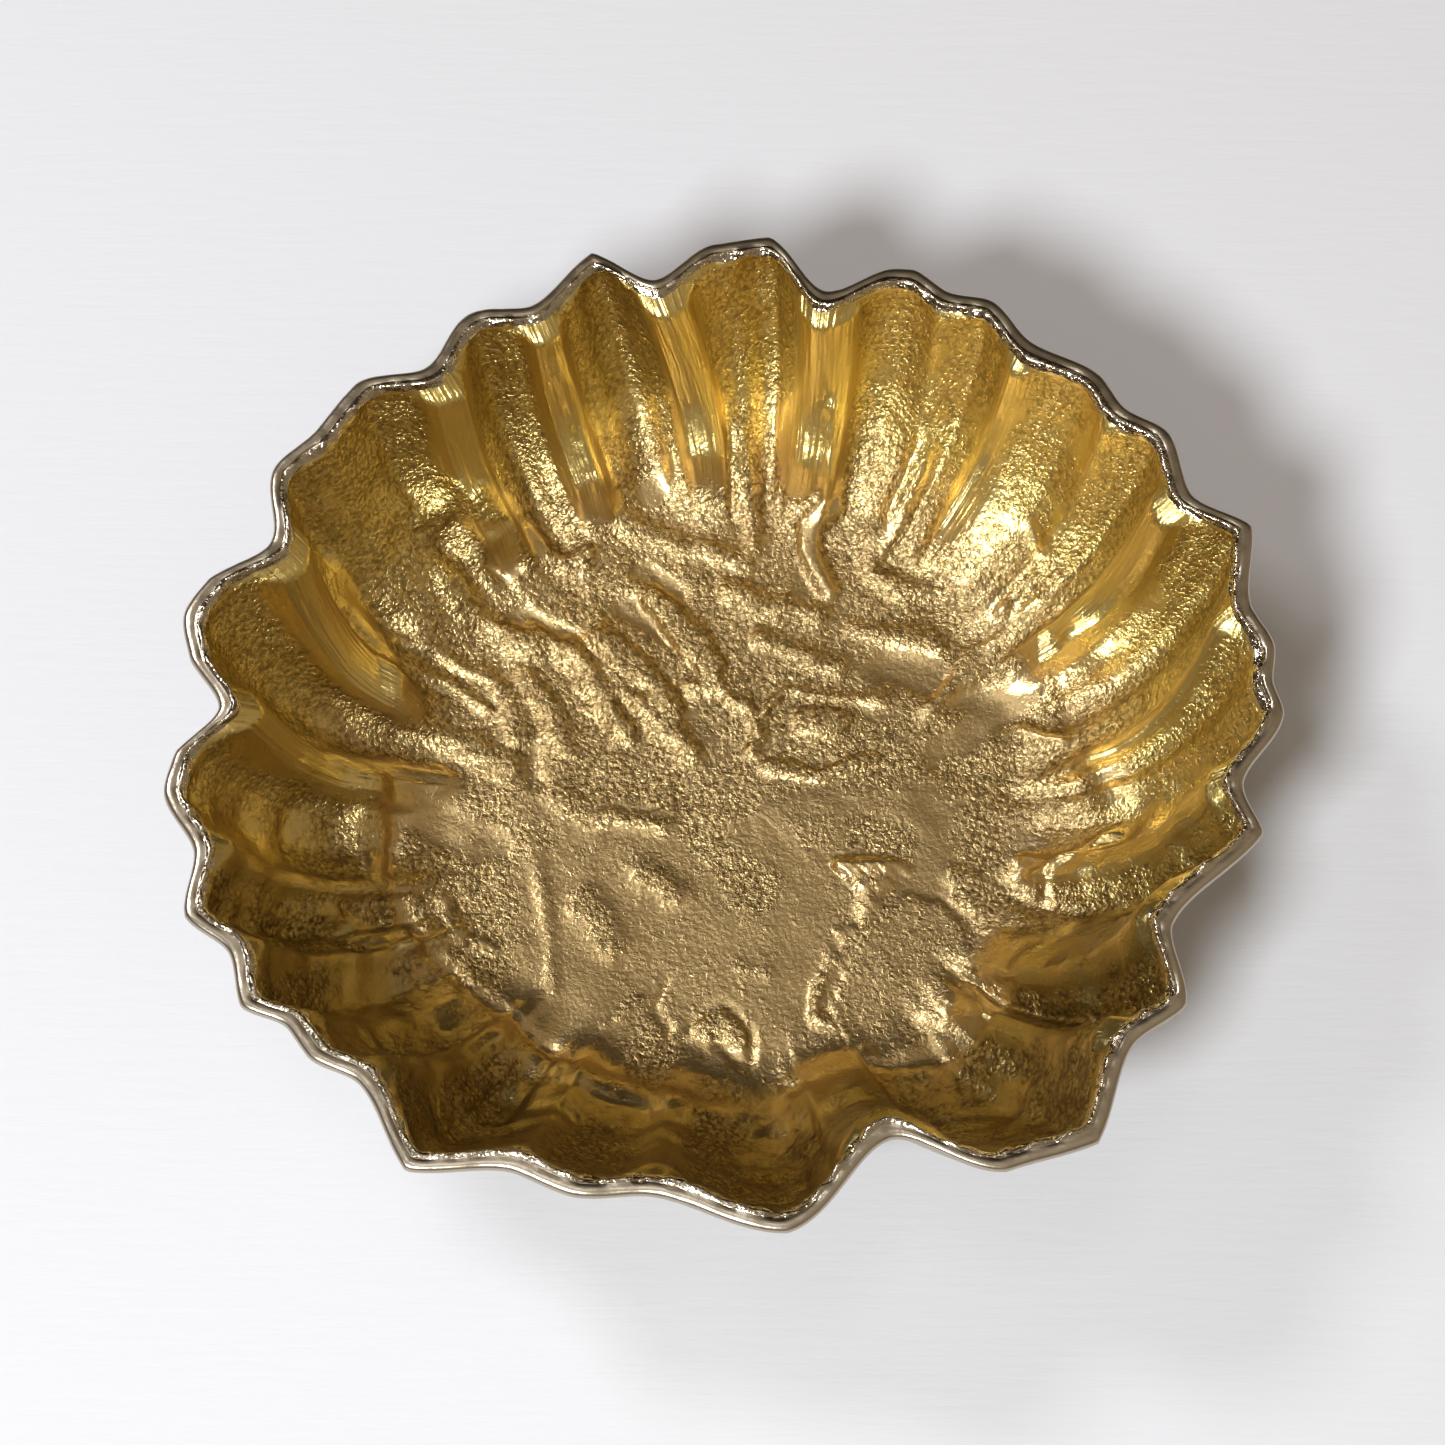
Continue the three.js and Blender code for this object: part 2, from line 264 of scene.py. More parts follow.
def spun(outline: list[tuple[float, float]], steps: int, closed: bool = False) -> bmesh.types.BMesh:
    """Spins an outline about +Z.

    Args:
        outline: Points of radius and height, in millimetres.
        steps: How many steps make the full turn.
        closed: Whether the outline closes on itself, clear of the axis.

    Returns:
        A closed shape with its normals out and a "row" layer of outline point numbers.
    """
    shape = bmesh.new()
    rows = shape.verts.layers.int.new("row")
    corners = []
    for row, (radius, height) in enumerate(outline):
        corner = shape.verts.new((radius, 0, height))
        corner[rows] = row
        corners.append(corner)
    for first, second in zip(corners, corners[1:]):
        shape.edges.new((first, second))
    if closed:
        shape.edges.new((corners[-1], corners[0]))
    bmesh.ops.spin(
        shape,
        geom=shape.verts[:] + shape.edges[:],
        cent=(0, 0, 0),
        axis=(0, 0, 1),
        angle=FULL_TURN,
        steps=steps,
        use_merge=True,
    )
    bmesh.ops.remove_doubles(shape, verts=shape.verts, dist=1e-4)
    bmesh.ops.recalc_face_normals(shape, faces=shape.faces)
    return shape


# ---- Finishes ------------------------------------------------------------------------------


@dataclass(frozen=True)
class GiltBrass:
    """Sand-cast brass, gilt: the sand's grain glitters, and filed places shine softly.

    The mesh gives each point: grain, from 0 where the metal is filed smooth to 1 where the sand
    shows; filed, which is 1 on the ridges that were filed last; the near side's painted shade,
    which is 1 where the walls of the near side are painted darker; and flow, which runs along
    the flutes.
    """

    floor_and_highlight_colour: str = "#ccb17f"
    wall_colour: str = "#dfc67c"
    # The colour of the painted shade, in the sand's pits and on the near side's walls.
    shade_colour: str = "#6f5d38"
    wall_start: tuple[float, float] = (30.0, 50.0)  # mm up, over which the colour changes; the paler floor colour below is partly a painted highlight on the lower wall
    near_side_shade: float = 0.6  # share of the shade colour that is painted as shade where the near side's walls are darkest
    roughness: float = 0.3
    sand_size: float = 0.85  # mm across a grain of the mould's sand
    sand_height: float = 0.4  # mm
    streak_width: float = 1.1  # mm, coarser than a file's teeth, so that they show
    streak_height: float = 0.5  # mm

    def build(self) -> bpy.types.Material:
        """Builds the material."""
        material, tree, shader = new_material("gilt_brass")
        place = add_node(tree, "ShaderNodeTexCoord").outputs["Object"]
        ragged = add_noise(tree, 2.6, place, Detail=2.0)
        edge = calculate(tree, "MULTIPLY_ADD", ragged, 0.9, read_attribute(tree, "grain"))
        sandy = rescale(tree, edge, (0.62, 1.2), kind="SMOOTHSTEP")
        fine = add_noise(tree, self.sand_size, place, Detail=2.0, Roughness=0.55, Distortion=0.7)
        lumps = add_node(
            tree,
            "ShaderNodeTexVoronoi",
            {
                "feature": "SMOOTH_F1",
                "Scale": 1 / (1.6 * self.sand_size * MM),
                "Smoothness": 0.35,
                "Vector": place,
            },
        )
        sand = calculate(tree, "MULTIPLY_ADD", lumps.outputs["Distance"], -0.55, fine)
        cast = calculate(tree, "MULTIPLY", sand, rescale(tree, sandy, wanted=(0.26, 1.0)))
        cast_bump = add_bump(tree, self.sand_height, cast)
        flow = read_attribute(tree, "flow", "Vector")
        streaks = add_noise(tree, self.streak_width, flow, Detail=1.0)
        filed = calculate(tree, "MULTIPLY", streaks, read_attribute(tree, "filed"))
        filed_bump = add_bump(tree, self.streak_height, filed, cast_bump)

        tone = add_noise(tree, 14, place, Detail=2.0)
        parts = add_node(tree, "ShaderNodeSeparateXYZ", {"Vector": place})
        level = calculate(tree, "MULTIPLY_ADD", tone, 16 * MM, parts.outputs["Z"])
        low, high = self.wall_start
        higher = rescale(tree, level, (low * MM, high * MM), kind="SMOOTHSTEP")
        # The paler colour is the gilt's own colour on the floor, and up the lower wall it is partly a
        # painted highlight.
        colour = blend(tree, higher, linear(self.floor_and_highlight_colour), linear(self.wall_colour))
        pit_shade_share = rescale(tree, sand, (0.38, 0.06), (0.0, 0.8))
        # Shade is painted into the sand's pits, and it is fainter on the wall.
        dark = calculate(tree, "MULTIPLY", pit_shade_share, rescale(tree, higher, wanted=(1.0, 0.7)))
        # Painted shade: the walls of the near side are darkened with the shade colour.
        worn = calculate(tree, "MULTIPLY", read_attribute(tree, "near_side_shade"), self.near_side_shade)
        # Painted shade: the pits' shade and the near side's shade, as a share of the shade colour.
        painted_shade_share = calculate(tree, "MULTIPLY_ADD", dark, sandy, worn, clamp=True)
        looks = {
            "Base Color": blend(tree, painted_shade_share, colour, linear(self.shade_colour)),
            "Metallic": 1.0,
            "Roughness": self.roughness,
            "Normal": filed_bump,
        }
        set_inputs(tree, shader, looks)
        return material


@dataclass(frozen=True)
class NickelPlate:
    """Warm nickel over brass: satin where it was ground, bright where a burr was rubbed down."""

    colour: str = "#b9ae9c"
    satin: float = 0.3
    bright: float = 0.14
    grind_size: float = 1.1  # mm
    grind_height: float = 0.12  # mm

    def build(self) -> bpy.types.Material:
        """Builds the material."""
        material, tree, shader = new_material("nickel_plate")
        place = add_node(tree, "ShaderNodeTexCoord").outputs["Object"]
        burr = read_attribute(tree, "burr")
        ground = add_noise(tree, self.grind_size, place, Detail=2.0, Distortion=0.5)
        height = calculate(tree, "MULTIPLY", ground, rescale(tree, burr, wanted=(0.12, 2.4)))
        looks = {
            "Base Color": linear(self.colour),
            "Metallic": 1.0,
            "Roughness": rescale(tree, burr, wanted=(self.satin, self.bright)),
            "Normal": add_bump(tree, self.grind_height, height),
        }
        set_inputs(tree, shader, looks)
        return material


@dataclass(frozen=True)
class ZincSteel:
    """Zinc-plated steel: a grey screw with faint turning marks."""

    colour: str = "#9a9c9f"
    roughness: float = 0.34
    mark_size: float = 0.5  # mm
    mark_height: float = 0.02  # mm

    def build(self) -> bpy.types.Material:
        """Builds the material."""
        material, tree, shader = new_material("screw_steel")
        place = add_node(tree, "ShaderNodeTexCoord").outputs["Object"]
        marks = add_noise(tree, self.mark_size, place, Detail=2.0)
        looks = {
            "Base Color": linear(self.colour),
            "Metallic": 1.0,
            "Roughness": self.roughness,
            "Normal": add_bump(tree, self.mark_height, marks),
        }
        set_inputs(tree, shader, looks)
        return material


@dataclass(frozen=True)
class WoolFelt:
    """Pressed wool felt: matt, with a short tangled nap."""

    colour: str = "#4a3a2c"
    light_colour: str = "#6a5744"
    fibre: float = 0.35  # mm, coarser than wool, so that it shows
    nap_height: float = 0.2  # mm

    def build(self) -> bpy.types.Material:
        """Builds the material."""
        material, tree, shader = new_material("felt")
        place = add_node(tree, "ShaderNodeTexCoord").outputs["Object"]
        nap = add_noise(tree, self.fibre, place, Detail=3.0, Distortion=1.5)
        looks = {
            "Base Color": blend(tree, nap, linear(self.colour), linear(self.light_colour)),
            "Roughness": 0.95,
            "Sheen Weight": 0.4,
            "Normal": add_bump(tree, self.nap_height, nap),
        }
        set_inputs(tree, shader, looks)
        return material


@dataclass(frozen=True)
class PaintedBoard:
    """Matt white paint on a smooth board, with faint brush marks."""

    colour: str = "#dbdbe0"
    brush_width: float = 22.0  # mm
    brush_height: float = 0.12  # mm

    def build(self) -> bpy.types.Material:
        """Builds the material."""
        material, tree, shader = new_material("painted_board")
        place = add_node(tree, "ShaderNodeTexCoord").outputs["Object"]
        settings = {"Scale": (1.0, 9.0, 1.0), "Vector": place}
        stretched = add_node(tree, "ShaderNodeMapping", settings).outputs["Vector"]
        marks = add_noise(tree, self.brush_width, stretched, Detail=5.0, Roughness=0.6)
        looks = {
            "Base Color": linear(self.colour),
            "Roughness": 0.7,
            "Normal": add_bump(tree, self.brush_height, marks),
        }
        set_inputs(tree, shader, looks)
        return material


# ---- The rim -------------------------------------------------------------------------------


@dataclass(frozen=True)
class RimPoint:
    """A valley of the rim, where a ridge runs down the wall, or a tip, which ends a channel."""

    at: float  # direction, in degrees anticlockwise from +X
    out: float  # mm outside the rim's mean radius
    sweep: float  # degrees that the line has turned by the time it reaches the floor
    keen: float  # 0 for a rounded point, 1 for a sharp one


RIM_ROWS = (
    (2.5, 3.8, -8, 0.2),
    (6.5, 5.4, -11, 0.2),
    (11.5, 2.3, -13, 0.1),
    (20, 9.1, -9, 0.9),
    (26, -0.2, -4, 0.1),
    (33.5, 4, -4, 0.3),
    (39, -0.4, -5, 0.1),
    (43.5, 1.3, -4, 0.2),
    (52, -2.8, -2, 0),
    (58.5, 1.3, -3, 0.3),
    (63.5, -1.6, -4, 0),
    (68, 0.6, -3, 0.2),
    (70.5, -0.8, -3, 0.8),
    (77.5, -11.2, -2, 0),
    (85, 1.4, -3, 0.6),
    (91.5, -0.9, -5, 0.4),
    (99, -9.3, -7, 0.1),
    (105.5, 1, -3, 0.8),
    (114.5, -7.7, 1, 0.1),
    (121.5, -2.8, 2, 0),
    (129.5, -8.9, 3.5, 0),
    (137, -0.8, 4, 0.3),
    (144.5, -1.8, 5, 0.2),
    (150.5, 0.9, 7, 0.1),
    (159, -7.4, 10, 0),
    (165.5, 2.7, 8, 1),
    (170, 5.8, 6, 0.1),
    (175, 2.3, 5, 1),
    (180.5, -5.3, 3, 0.1),
    (185.5, 4.4, 4, 1),
    (190, 7.5, 4, 0.2),
    (196.5, 3.3, 4.5, 0.1),
    (203, 9.4, 3, 0.4),
    (208.5, 3.9, 2.5, 0.1),
    (214, 7.4, 3, 0.6),
    (218.7, 1.9, 3.5, 0.1),
    (222.5, 2.5, 3, 0.4),
    (228, -1.2, 3, 0.1),
    (237.5, 7.5, 1, 0.9),
    (247.5, -2.8, -2, 0.1),
    (253.5, -2.1, -1, 0.2),
    (262, -5.7, 0, 0),
    (276, 1.6, 0, 0.3),
    (289, -13.2, 0, 0),
    (299, 3.1, -2, 0.5),
    (308, 8.8, -3, 0.9),
    (318, -1.2, -4, 0.1),
    (324.5, 2.5, -7, 0.5),
    (332, -8.9, -11, 0),
    (345.3, 3.3, -10, 1),
    (350.5, -3, -10, 0.1),
    (359, 5.6, -9, 0.2),
)
RIM_POINTS = tuple(RimPoint(*row) for row in RIM_ROWS)


@dataclass(frozen=True)
class RimLine:
    """The rim as one closed line through its points, which the wall's flutes follow."""

    points: tuple[RimPoint, ...] = RIM_POINTS

    def folds(self) -> np.ndarray:
        """Gives each point how far it stands out from the line between its neighbours, in mm."""
        at = np.array([point.at for point in self.points])
        out = np.array([point.out for point in self.points])
        before, after = np.roll(at, 1), np.roll(at, -1)
        share = ((at - before) % 360) / ((after - before) % 360)
        return out - (np.roll(out, 1) * (1 - share) + np.roll(out, -1) * share)

    def follow(self, degrees: np.ndarray) -> tuple[np.ndarray, np.ndarray, np.ndarray]:
        """Reads the line at some directions.

        Args:
            degrees: Directions, in degrees anticlockwise from +X.

        Returns:
            How far the rim stands out in mm, how far the flutes sweep in degrees, and the
            fold there in mm, negative on a ridge and positive in a channel.
        """
        at = np.array([point.at for point in self.points])
        out = np.array([point.out for point in self.points])
        sweep = np.array([point.sweep for point in self.points])
        keen = np.array([point.keen for point in self.points])
        fold = self.folds()
        count = len(self.points)
        before = np.searchsorted(at, degrees % 360, side="right") - 1
        after = (before + 1) % count
        span = (at[after] - at[before]) % 360
        share = ((degrees - at[before]) % 360) / span
        rest = 1 - share
        eased = share**2 * (3 - 2 * share)
        eased += keen[before] * share * rest**2 - keen[after] * share**2 * rest

        def between(values: np.ndarray, part: np.ndarray) -> np.ndarray:
            """Mixes a value of the two points on either side."""
            return values[before] + (values[after] - values[before]) * part

        return between(out, eased), between(sweep, share), between(fold, eased)


# ---- The inside's relief --------------------------------------------------------------------


@dataclass(frozen=True)
class Mark:
    """A raised, sunk or filed stroke of the inside, or a broad patch of one finish.

    Its line is given in plan, and its height fades from a flat top to its edge.
    """

    width: float  # mm
    height: float  # mm
    sand: float  # 0 for filed smooth, 1 for sandy
    line: tuple[tuple[float, float], ...]
    firm: float = 0.0  # share of the half width that the flat top takes

    def weigh(self, plan: np.ndarray, ragged: np.ndarray) -> np.ndarray:
        """Gives how fully the mark covers each place.

        Args:
            plan: Places in plan, in mm.
            ragged: How far each place's distance is changed, in mm, to roughen the edge.

        Returns:
            A share for each place, from 0 outside the mark to 1 on its top.
        """
        nearest = np.full(len(plan), np.inf)
        points = [np.array(point, float) for point in self.line]
        for start, end in zip(points, points[1:] or points):
            along = end - start
            length = max(float(along @ along), 1e-9)
            share = np.clip((plan - start) @ along / length, 0, 1)
            gap = plan - start - share[:, None] * along
            nearest = np.minimum(nearest, np.hypot(gap[:, 0], gap[:, 1]))
        half = self.width / 2
        return 1 - smoothstep(self.firm * half, half, nearest + ragged * min(1.0, half / 4))


MARKS = (
    # Broad patches that the file has smoothed, with the sand's islands in them.
    Mark(60, -0.2, 0.28, ((-12, -42), (12, -46)), 0.3),
    Mark(30, -0.2, 0.28, ((-48, -30), (-30, -18), (24, -26)), 0.3),
    Mark(14, -0.5, 0.2, ((-80, -6), (-56, -16)), 0.4),
    Mark(10, -0.8, 0.2, ((-49, 42), (-36, 35)), 0.5),
    Mark(9, -0.8, 0.2, ((-20, 55), (-12, 50)), 0.5),
    Mark(11, -0.8, 0.2, ((-24, 46), (-12, 39)), 0.4),
    Mark(13, -0.6, 0.1, ((40, 30), (58, 22)), 0.4),
    Mark(11, -0.6, 0.1, ((72, 24), (62, 16), (52, 6)), 0.5),
    Mark(10, -0.9, 0.2, ((-38, 37), (-30, 27), (-24, 20)), 0.5),
    Mark(16, -0.3, 0.15, ((10, -14), (17, -30), (15, -54)), 0.2),
    Mark(13, 0.0, 0.2, ((40, -16), (50, -38)), 0.5),
    # Dense sand.
    Mark(15, -0.2, 1.0, ((-36, 0), (-10, -1)), 0.3),
    Mark(15, -0.2, 0.8, ((2, -22), (8, -27)), 0.2),
    Mark(13, -0.2, 0.8, ((31, -12), (41, -15)), 0.2),
    Mark(12, -0.2, 0.8, ((-7, -13), (-3, -17)), 0.2),
    Mark(17, -0.4, 1.0, ((56, 2), (84, -3)), 0.3),
    Mark(14, -0.2, 0.8, ((-55, -24), (-53, -33)), 0.2),
    Mark(14, 0.6, 0.8, ((56, -27), (63, -32)), 0.3),
    Mark(6, 0.1, 0.9, ((3, -46), (9, -47)), 0.2),
    Mark(14, 0.1, 0.6, ((-5, -75), (1, -77)), 0.2),
    # Worm-like ridges of the far half.
    Mark(10, 2.6, 1.0, ((-73, 62), (-68, 66), (-60, 67), (-54, 65), (-47, 59), (-38, 57), (-33, 60))),
    Mark(9, -1.8, 0.1, ((-55, 55), (-53, 54)), 0.3),
    Mark(
        11.5, 2.2, 1.0,
        (
            (-66, 50), (-60, 42), (-52, 38), (-45, 37), (-38, 34), (-33, 29), (-29, 22),
            (-26, 14),
        ),
    ),
    Mark(9.5, 2.3, 1.0, ((-31, 38), (-27, 33), (-21, 28), (-16, 24), (-14, 19)), 0.3),
    Mark(9.5, 1.7, 1.0, ((-26, 25), (-19, 18), (-12, 12), (-9, 9))),
    Mark(9.5, 2.1, 0.9, ((-18, 48), (-14, 44), (-10, 39), (-7, 34), (-4, 29)), 0.45),
    Mark(9.5, 1.4, 0.8, ((-7, 25), (-1, 25))),
    Mark(6, 1.3, 0.8, ((0, 22), (6, 18), (8, 12), (6, 8))),
    Mark(6.5, 1.5, 0.8, ((8, 38), (14, 35), (20, 32), (27, 29))),
    Mark(10, 1.3, 0.9, ((19, 16), (27, 16)), 0.2),
    Mark(4.5, 1.2, 0.6, ((9, 18), (14, 24), (25, 22), (38, 21))),
    Mark(8, 1.3, 0.5, ((74, 45), (66, 36), (60, 31), (54, 24), (49, 19)), 0.4),
    Mark(5, -1.2, 0.2, ((66, 43), (66.5, 43.5))),
    Mark(6, -1.2, 0.2, ((73, 60), (76, 53))),
    Mark(7, 1.6, 0.7, ((35, 63), (36, 55), (42, 50), (48, 50))),
    Mark(11, 1.4, 0.8, ((-72, 12), (-60, 8), (-52, 4))),
    Mark(9, -0.8, 0.3, ((-46, 8), (-46, 1))),
    Mark(4, 1.2, 0.5, ((-80, 34), (-70, 33), (-60, 27))),
    Mark(4, 1.2, 0.5, ((-76, 27), (-66, 25), (-58, 19))),
    Mark(7, 1.3, 0.9, ((-48, 26), (-42, 18), (-38, 8)), 0.3),
    Mark(7, 1.1, 0.9, ((-58, 28), (-52, 20), (-50, 12)), 0.3),
    Mark(7, 1.3, 0.8, ((-24, 66), (-10, 62), (4, 58)), 0.3),
    Mark(8.5, 1.4, 0.8, ((2, 50), (10, 46), (22, 44)), 0.3),
    Mark(6, 0.9, 0.8, ((30, 40), (40, 38), (50, 36)), 0.3),
    Mark(5, 1.0, 0.7, ((10, 4), (22, 2), (34, 6)), 0.3),
    # The feet of the ridges, where they run out on the floor.
    Mark(9, 2.0, 0.1, ((-66, 92), (-61, 76), (-56, 69), (-46, 60)), 0.2),
    Mark(9, 1.8, 0.1, ((-39, 92), (-32, 78), (-29, 71)), 0.2),
    Mark(10, 2.0, 0.2, ((-92, 44), (-82, 30), (-79, 20), (-75, 16)), 0.2),
    Mark(11, 2.4, 0.0, ((-92, 0), (-78, 1), (-68, 0)), 0.1),
    Mark(7, 2.2, 0.1, ((28, 90), (26, 71), (20, 66), (20, 60), (25, 50)), 0.3),
    Mark(9, 1.6, 0.7, ((4, 88), (5, 74), (7, 62)), 0.2),
    Mark(8, 1.6, 0.4, ((48, 80), (42, 68), (38, 60)), 0.2),
    Mark(9, 0.6, 0.0, ((-14, 80), (-18, 75)), 0.5),
    Mark(10, 0.6, 0.0, ((15, 90), (18, 76)), 0.5),
    # The folds at the foot of the wall.
    Mark(
        6.5, -1.2, 0.3,
        (
            (-79, -3), (-77, -12), (-80, -25), (-77, -31), (-70, -42), (-62, -49), (-58, -53),
            (-50, -58), (-42, -66), (-36, -70),
        ),
    ),
    Mark(13, 2.2, 0.4, ((-85, -6), (-84, -15)), 0.1),
    Mark(8, 1.6, 0.3, ((-83, -20), (-82, -26)), 0.1),
    Mark(9, 1.8, 0.3, ((-92, -38), (-85, -42), (-78, -40), (-73, -44)), 0.1),
    Mark(5, 1.0, 0.2, ((-66, -30), (-62, -39)), 0.2),
    Mark(4, 0.8, 0.2, ((-57, -40), (-54, -42)), 0.2),
    Mark(8, -0.9, 0.4, ((81, 41), (79, 36), (79, 28), (80, 21), (82, 12), (83, 4), (81, -8))),
    Mark(4, 1.8, 0.1, ((71, 13), (80, 9)), 0.3),
    Mark(11, 1.8, 0.3, ((86, 33), (91, 26)), 0.1),
    Mark(11, 1.6, 0.3, ((88, 3), (91, -8)), 0.1),
    Mark(
        7, -0.9, 0.3,
        (
            (92, -38), (80, -40), (66, -46), (62, -58), (56, -66), (48, -68), (30, -72),
            (15, -76),
        ),
    ),
    Mark(5, 1.0, 0.3, ((57, -52), (59, -61)), 0.2),
    Mark(5, 0.9, 0.3, ((30, -63), (35, -67)), 0.2),
    Mark(10, 1.0, 0.3, ((-50, -66), (-40, -72), (-25, -76), (-12, -80), (0, -82)), 0.1),
    Mark(9, 0.9, 0.3, ((-46, -77), (-30, -84), (-15, -87)), 0.1),
    Mark(9, 0.9, 0.3, ((8, -86), (24, -84), (38, -78)), 0.1),
    # A five-armed burr and a three-cornered flap.
    Mark(5, 1.8, 0.2, ((72, -25), (79, -22), (90, -17)), 0.1),
    Mark(4, 1.6, 0.2, ((70, -20), (75, -23), (74, -31)), 0.1),
    Mark(6, 1.3, 0.5, ((31, -25), (37, -25)), 0.4),
    Mark(5, 1.2, 0.5, ((33, -28), (33, -34)), 0.3),
    Mark(4, 2.1, 0.2, ((27, -21), (40, -21)), 0.5),
    Mark(3.2, 1.1, 0.1, ((40, -21), (32, -36), (27, -38)), 0.2),
    # Low edges and glinting islands of the smooth half.
    Mark(26, 0.6, 0.4, ((44, -40), (36, -56)), 0.8),
    Mark(4.5, 0.8, 0.7, ((39, -32), (33, -37), (28, -42), (24, -46), (21, -52), (20, -58), (24, -60))),
    Mark(4, 0.7, 0.4, ((50, -42), (40, -49), (32, -57))),
    Mark(8, 0.5, 0.8, ((-40, -3), (-35, -8), (-25, -9), (-15, -11))),
    Mark(4.5, 0.35, 0.4, ((-47, -8), (-45, -20), (-42, -35), (-40, -52))),
    Mark(3.6, 0.6, 0.5, ((-28, -60), (-20, -54))),
    Mark(3.4, -0.7, 0.4, ((-14, -50), (-17, -56), (-13, -61), (-14, -64))),
    Mark(3.4, -0.7, 0.4, ((-10, -64), (-5, -66))),
    Mark(12, 0.7, 0.7, ((-4, -60), (2, -61)), 0.5),
    Mark(
        3.4, -0.8, 0.4,
        (
            (-9, -60), (-6, -57), (-1, -55), (3, -58), (6, -62), (5, -70), (1, -67), (-3, -63),
        ),
    ),
    Mark(12, 0.4, 0.6, ((-33, -30), (-28, -40)), 0.2),
    Mark(11, 0.4, 0.6, ((-20, -22), (-12, -28)), 0.2),
)


# ---- The casting ---------------------------------------------------------------------------


class Skin(Enum):
    """The three stretches of the casting's section."""

    INSIDE = 0
    LIP = 1
    OUTSIDE = 2


@dataclass(frozen=True)
class SectionRow:
    """A point of the casting's section and the way that the lobes push it."""

    skin: Skin
    radius: float
    height: float
    climb: float = 0.0
    lobes: float = 0.0
    push_out: float = 0.0
    push_down: float = 0.0
    along: float = 0.0


# The lip's section, from the inside round to the outside: mm in from the rim's edge, and mm down.
LIP_SECTION = (
    (5.2, 2.4), (4.9, 1.4), (4.4, 0.5), (3.8, 0.1), (3.3, 0.4), (2.9, 0.7), (2.0, 0.6),
    (1.1, 0.65), (0.5, 0.9), (0.1, 1.5), (0.0, 2.6), (0.4, 4.0), (1.2, 5.0),
)


